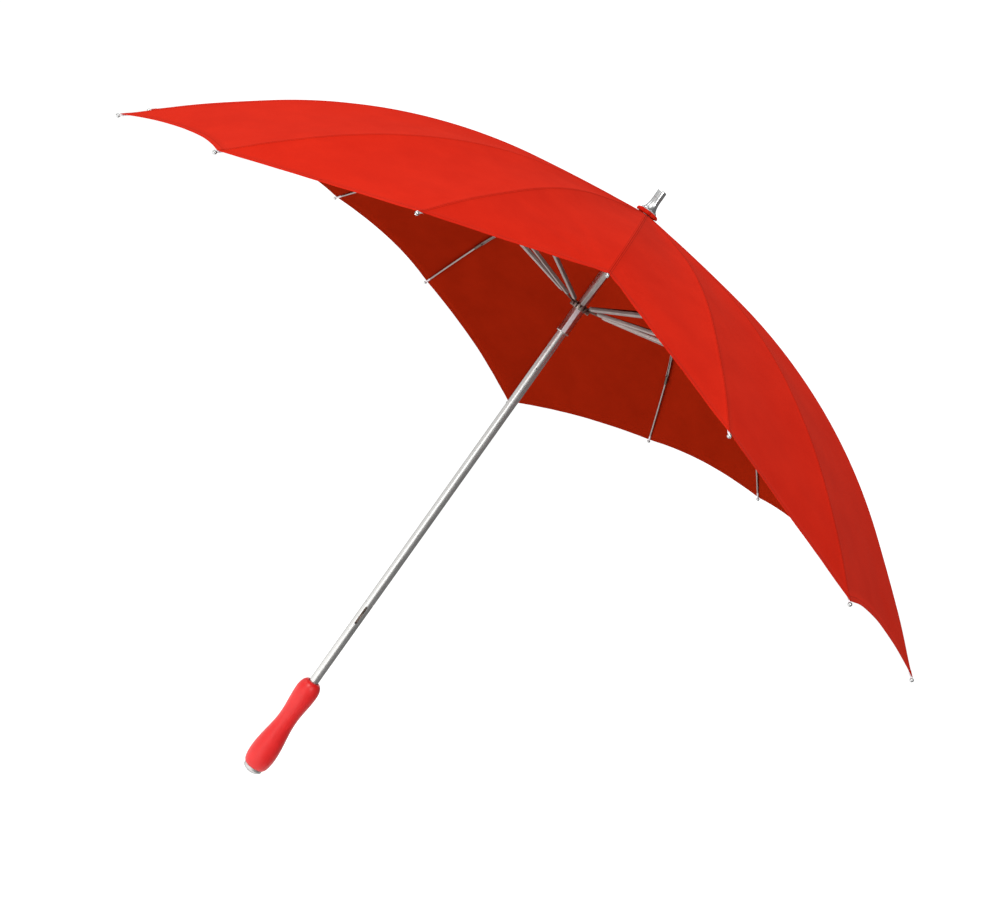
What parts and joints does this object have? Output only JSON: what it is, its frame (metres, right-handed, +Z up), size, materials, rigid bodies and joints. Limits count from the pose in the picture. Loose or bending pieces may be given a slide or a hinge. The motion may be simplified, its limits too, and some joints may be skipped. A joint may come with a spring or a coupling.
{
  "type": "stick umbrella",
  "caption": "Open stick umbrella with a heart-shaped cloth canopy, curved ribs on stretchers and a sliding runner, a straight metal shaft and a waisted grip.",
  "frame": {"origin": "middle of the grip, on the shaft's axis", "axes": "+Z up the shaft to the ferrule, +X across the canopy's two lobes, and the canopy's notch towards -Y"},
  "size_m": [1.1296, 1.0704, 0.878],
  "materials": {
    "satin_aluminium": "satin drawn tube",
    "polished_silver": "bright plated metal",
    "pale_plastic": "smooth moulded plastic",
    "rib_steel": "grey coated steel strip",
    "dark_steel": "dark wire and sleeves",
    "canopy_cloth": "fine plain weave, semi-matte",
    "red_grip": "soft-sheen moulded plastic"
  },
  "bodies": {
    "shaft": {"shaft_tube": "satin_aluminium", "handle_grip": "red_grip", "handle_end_cap": "polished_silver", "ferrule": "polished_silver", "ferrule_washer": "pale_plastic", "fabric_rosette": "canopy_cloth", "top_notch": "satin_aluminium", "notch_wire": "dark_steel"},
    "runner": {"runner": "pale_plastic", "runner_wire": "dark_steel"},
    "top_catch": {"top_catch": "dark_steel"},
    "bottom_catch": {"bottom_catch": "dark_steel"},
    "rib_00": {"rib_00": "rib_steel", "canopy_00": "canopy_cloth"},
    "stretcher_00": {"stretcher_00": "rib_steel"},
    "rib_01": {"rib_01": "rib_steel", "canopy_01": "canopy_cloth"},
    "stretcher_01": {"stretcher_01": "rib_steel"},
    "rib_02": {"rib_02": "rib_steel", "canopy_02": "canopy_cloth"},
    "stretcher_02": {"stretcher_02": "rib_steel"},
    "rib_03": {"rib_03": "rib_steel", "canopy_03": "canopy_cloth"},
    "stretcher_03": {"stretcher_03": "rib_steel"},
    "rib_04": {"rib_04": "rib_steel", "canopy_04": "canopy_cloth"},
    "stretcher_04": {"stretcher_04": "rib_steel"},
    "rib_05": {"rib_05": "rib_steel", "canopy_05": "canopy_cloth"},
    "stretcher_05": {"stretcher_05": "rib_steel"},
    "rib_06": {"rib_06": "rib_steel", "canopy_06": "canopy_cloth"},
    "stretcher_06": {"stretcher_06": "rib_steel"},
    "rib_07": {"rib_07": "rib_steel", "canopy_07": "canopy_cloth"},
    "stretcher_07": {"stretcher_07": "rib_steel"},
    "rib_08": {"rib_08": "rib_steel", "canopy_08": "canopy_cloth"},
    "stretcher_08": {"stretcher_08": "rib_steel"},
    "rib_09": {"rib_09": "rib_steel", "canopy_09": "canopy_cloth"},
    "stretcher_09": {"stretcher_09": "rib_steel"},
    "rib_10": {"rib_10": "rib_steel", "canopy_10": "canopy_cloth"},
    "stretcher_10": {"stretcher_10": "rib_steel"},
    "rib_11": {"rib_11": "rib_steel", "canopy_11": "canopy_cloth"},
    "stretcher_11": {"stretcher_11": "rib_steel"},
    "rib_12": {"rib_12": "rib_steel", "canopy_12": "canopy_cloth"},
    "stretcher_12": {"stretcher_12": "rib_steel"},
    "rib_13": {"rib_13": "rib_steel", "canopy_13": "canopy_cloth"},
    "stretcher_13": {"stretcher_13": "rib_steel"},
    "rib_14": {"rib_14": "rib_steel", "canopy_14": "canopy_cloth"},
    "stretcher_14": {"stretcher_14": "rib_steel"},
    "rib_15": {"rib_15": "rib_steel", "canopy_15": "canopy_cloth"},
    "stretcher_15": {"stretcher_15": "rib_steel"}
  },
  "joints": [
    {"name": "runner_slide", "type": "slide", "parent": "shaft", "child": "runner", "axis": [0, 0, -1], "range_m": [0, 0.45002]},
    {"name": "rib_hinge_00", "type": "hinge", "parent": "shaft", "child": "rib_00", "pos_m": [0, -0.011, 0.7625], "axis": [1, 0, 0], "range_deg": [0, 61.01], "deforming": ["canopy_00"]},
    {"name": "stretcher_hinge_00", "type": "hinge", "parent": "rib_00", "child": "stretcher_00", "pos_m": [0, -0.30593, 0.69857], "axis": [1, 0, 0], "range_deg": [-122.02, 0]},
    {"name": "rib_hinge_01", "type": "hinge", "parent": "shaft", "child": "rib_01", "pos_m": [0.00421, -0.01016, 0.7625], "axis": [0.9239, 0.3827, 0], "range_deg": [0, 61.01], "deforming": ["canopy_01"]},
    {"name": "stretcher_hinge_01", "type": "hinge", "parent": "rib_01", "child": "stretcher_01", "pos_m": [0.11707, -0.28264, 0.69857], "axis": [0.9239, 0.3827, 0], "range_deg": [-122.02, 0]},
    {"name": "rib_hinge_02", "type": "hinge", "parent": "shaft", "child": "rib_02", "pos_m": [0.00778, -0.00778, 0.7625], "axis": [0.7071, 0.7071, 0], "range_deg": [0, 61.01], "deforming": ["canopy_02"]},
    {"name": "stretcher_hinge_02", "type": "hinge", "parent": "rib_02", "child": "stretcher_02", "pos_m": [0.21632, -0.21632, 0.69857], "axis": [0.7071, 0.7071, 0], "range_deg": [-122.02, 0]},
    {"name": "rib_hinge_03", "type": "hinge", "parent": "shaft", "child": "rib_03", "pos_m": [0.01016, -0.00421, 0.7625], "axis": [0.3827, 0.9239, 0], "range_deg": [0, 61.01], "deforming": ["canopy_03"]},
    {"name": "stretcher_hinge_03", "type": "hinge", "parent": "rib_03", "child": "stretcher_03", "pos_m": [0.28264, -0.11707, 0.69857], "axis": [0.3827, 0.9239, 0], "range_deg": [-122.02, 0]},
    {"name": "rib_hinge_04", "type": "hinge", "parent": "shaft", "child": "rib_04", "pos_m": [0.011, 0, 0.7625], "axis": [0, 1, 0], "range_deg": [0, 61.01], "deforming": ["canopy_04"]},
    {"name": "stretcher_hinge_04", "type": "hinge", "parent": "rib_04", "child": "stretcher_04", "pos_m": [0.30593, 0, 0.69857], "axis": [0, 1, 0], "range_deg": [-122.02, 0]},
    {"name": "rib_hinge_05", "type": "hinge", "parent": "shaft", "child": "rib_05", "pos_m": [0.01016, 0.00421, 0.7625], "axis": [-0.3827, 0.9239, 0], "range_deg": [0, 61.01], "deforming": ["canopy_05"]},
    {"name": "stretcher_hinge_05", "type": "hinge", "parent": "rib_05", "child": "stretcher_05", "pos_m": [0.28264, 0.11707, 0.69857], "axis": [-0.3827, 0.9239, 0], "range_deg": [-122.02, 0]},
    {"name": "rib_hinge_06", "type": "hinge", "parent": "shaft", "child": "rib_06", "pos_m": [0.00778, 0.00778, 0.7625], "axis": [-0.7071, 0.7071, 0], "range_deg": [0, 61.01], "deforming": ["canopy_06"]},
    {"name": "stretcher_hinge_06", "type": "hinge", "parent": "rib_06", "child": "stretcher_06", "pos_m": [0.21632, 0.21632, 0.69857], "axis": [-0.7071, 0.7071, 0], "range_deg": [-122.02, 0]},
    {"name": "rib_hinge_07", "type": "hinge", "parent": "shaft", "child": "rib_07", "pos_m": [0.00421, 0.01016, 0.7625], "axis": [-0.9239, 0.3827, 0], "range_deg": [0, 61.01], "deforming": ["canopy_07"]},
    {"name": "stretcher_hinge_07", "type": "hinge", "parent": "rib_07", "child": "stretcher_07", "pos_m": [0.11707, 0.28264, 0.69857], "axis": [-0.9239, 0.3827, 0], "range_deg": [-122.02, 0]},
    {"name": "rib_hinge_08", "type": "hinge", "parent": "shaft", "child": "rib_08", "pos_m": [0, 0.011, 0.7625], "axis": [-1, 0, 0], "range_deg": [0, 61.01], "deforming": ["canopy_08"]},
    {"name": "stretcher_hinge_08", "type": "hinge", "parent": "rib_08", "child": "stretcher_08", "pos_m": [0, 0.30593, 0.69857], "axis": [-1, 0, 0], "range_deg": [-122.02, 0]},
    {"name": "rib_hinge_09", "type": "hinge", "parent": "shaft", "child": "rib_09", "pos_m": [-0.00421, 0.01016, 0.7625], "axis": [-0.9239, -0.3827, 0], "range_deg": [0, 61.01], "deforming": ["canopy_09"]},
    {"name": "stretcher_hinge_09", "type": "hinge", "parent": "rib_09", "child": "stretcher_09", "pos_m": [-0.11707, 0.28264, 0.69857], "axis": [-0.9239, -0.3827, 0], "range_deg": [-122.02, 0]},
    {"name": "rib_hinge_10", "type": "hinge", "parent": "shaft", "child": "rib_10", "pos_m": [-0.00778, 0.00778, 0.7625], "axis": [-0.7071, -0.7071, 0], "range_deg": [0, 61.01], "deforming": ["canopy_10"]},
    {"name": "stretcher_hinge_10", "type": "hinge", "parent": "rib_10", "child": "stretcher_10", "pos_m": [-0.21632, 0.21632, 0.69857], "axis": [-0.7071, -0.7071, 0], "range_deg": [-122.02, 0]},
    {"name": "rib_hinge_11", "type": "hinge", "parent": "shaft", "child": "rib_11", "pos_m": [-0.01016, 0.00421, 0.7625], "axis": [-0.3827, -0.9239, 0], "range_deg": [0, 61.01], "deforming": ["canopy_11"]},
    {"name": "stretcher_hinge_11", "type": "hinge", "parent": "rib_11", "child": "stretcher_11", "pos_m": [-0.28264, 0.11707, 0.69857], "axis": [-0.3827, -0.9239, 0], "range_deg": [-122.02, 0]},
    {"name": "rib_hinge_12", "type": "hinge", "parent": "shaft", "child": "rib_12", "pos_m": [-0.011, 0, 0.7625], "axis": [0, -1, 0], "range_deg": [0, 61.01], "deforming": ["canopy_12"]},
    {"name": "stretcher_hinge_12", "type": "hinge", "parent": "rib_12", "child": "stretcher_12", "pos_m": [-0.30593, 0, 0.69857], "axis": [0, -1, 0], "range_deg": [-122.02, 0]},
    {"name": "rib_hinge_13", "type": "hinge", "parent": "shaft", "child": "rib_13", "pos_m": [-0.01016, -0.00421, 0.7625], "axis": [0.3827, -0.9239, 0], "range_deg": [0, 61.01], "deforming": ["canopy_13"]},
    {"name": "stretcher_hinge_13", "type": "hinge", "parent": "rib_13", "child": "stretcher_13", "pos_m": [-0.28264, -0.11707, 0.69857], "axis": [0.3827, -0.9239, 0], "range_deg": [-122.02, 0]},
    {"name": "rib_hinge_14", "type": "hinge", "parent": "shaft", "child": "rib_14", "pos_m": [-0.00778, -0.00778, 0.7625], "axis": [0.7071, -0.7071, 0], "range_deg": [0, 61.01], "deforming": ["canopy_14"]},
    {"name": "stretcher_hinge_14", "type": "hinge", "parent": "rib_14", "child": "stretcher_14", "pos_m": [-0.21632, -0.21632, 0.69857], "axis": [0.7071, -0.7071, 0], "range_deg": [-122.02, 0]},
    {"name": "rib_hinge_15", "type": "hinge", "parent": "shaft", "child": "rib_15", "pos_m": [-0.00421, -0.01016, 0.7625], "axis": [0.9239, -0.3827, 0], "range_deg": [0, 61.01], "deforming": ["canopy_15"]},
    {"name": "stretcher_hinge_15", "type": "hinge", "parent": "rib_15", "child": "stretcher_15", "pos_m": [-0.11707, -0.28264, 0.69857], "axis": [0.9239, -0.3827, 0], "range_deg": [-122.02, 0]},
    {"name": "top_catch_press", "type": "hinge", "parent": "shaft", "child": "top_catch", "pos_m": [0, 0.0034, 0.548], "axis": [1, 0, 0], "range_deg": [0, 4], "stiffness_Nm_per_rad": 0.3},
    {"name": "bottom_catch_press", "type": "hinge", "parent": "shaft", "child": "bottom_catch", "pos_m": [0, -0.0034, 0.188], "axis": [1, 0, 0], "range_deg": [0, 6], "stiffness_Nm_per_rad": 0.3}
  ],
  "couplings": [
    {"joint": "rib_hinge_00", "follows": "runner_slide", "rad_per_m": 2.3658},
    {"joint": "stretcher_hinge_00", "follows": "runner_slide", "rad_per_m": -4.7316},
    {"joint": "rib_hinge_01", "follows": "runner_slide", "rad_per_m": 2.3658},
    {"joint": "stretcher_hinge_01", "follows": "runner_slide", "rad_per_m": -4.7316},
    {"joint": "rib_hinge_02", "follows": "runner_slide", "rad_per_m": 2.3658},
    {"joint": "stretcher_hinge_02", "follows": "runner_slide", "rad_per_m": -4.7316},
    {"joint": "rib_hinge_03", "follows": "runner_slide", "rad_per_m": 2.3658},
    {"joint": "stretcher_hinge_03", "follows": "runner_slide", "rad_per_m": -4.7316},
    {"joint": "rib_hinge_04", "follows": "runner_slide", "rad_per_m": 2.3658},
    {"joint": "stretcher_hinge_04", "follows": "runner_slide", "rad_per_m": -4.7316},
    {"joint": "rib_hinge_05", "follows": "runner_slide", "rad_per_m": 2.3658},
    {"joint": "stretcher_hinge_05", "follows": "runner_slide", "rad_per_m": -4.7316},
    {"joint": "rib_hinge_06", "follows": "runner_slide", "rad_per_m": 2.3658},
    {"joint": "stretcher_hinge_06", "follows": "runner_slide", "rad_per_m": -4.7316},
    {"joint": "rib_hinge_07", "follows": "runner_slide", "rad_per_m": 2.3658},
    {"joint": "stretcher_hinge_07", "follows": "runner_slide", "rad_per_m": -4.7316},
    {"joint": "rib_hinge_08", "follows": "runner_slide", "rad_per_m": 2.3658},
    {"joint": "stretcher_hinge_08", "follows": "runner_slide", "rad_per_m": -4.7316},
    {"joint": "rib_hinge_09", "follows": "runner_slide", "rad_per_m": 2.3658},
    {"joint": "stretcher_hinge_09", "follows": "runner_slide", "rad_per_m": -4.7316},
    {"joint": "rib_hinge_10", "follows": "runner_slide", "rad_per_m": 2.3658},
    {"joint": "stretcher_hinge_10", "follows": "runner_slide", "rad_per_m": -4.7316},
    {"joint": "rib_hinge_11", "follows": "runner_slide", "rad_per_m": 2.3658},
    {"joint": "stretcher_hinge_11", "follows": "runner_slide", "rad_per_m": -4.7316},
    {"joint": "rib_hinge_12", "follows": "runner_slide", "rad_per_m": 2.3658},
    {"joint": "stretcher_hinge_12", "follows": "runner_slide", "rad_per_m": -4.7316},
    {"joint": "rib_hinge_13", "follows": "runner_slide", "rad_per_m": 2.3658},
    {"joint": "stretcher_hinge_13", "follows": "runner_slide", "rad_per_m": -4.7316},
    {"joint": "rib_hinge_14", "follows": "runner_slide", "rad_per_m": 2.3658},
    {"joint": "stretcher_hinge_14", "follows": "runner_slide", "rad_per_m": -4.7316},
    {"joint": "rib_hinge_15", "follows": "runner_slide", "rad_per_m": 2.3658},
    {"joint": "stretcher_hinge_15", "follows": "runner_slide", "rad_per_m": -4.7316}
  ]
}
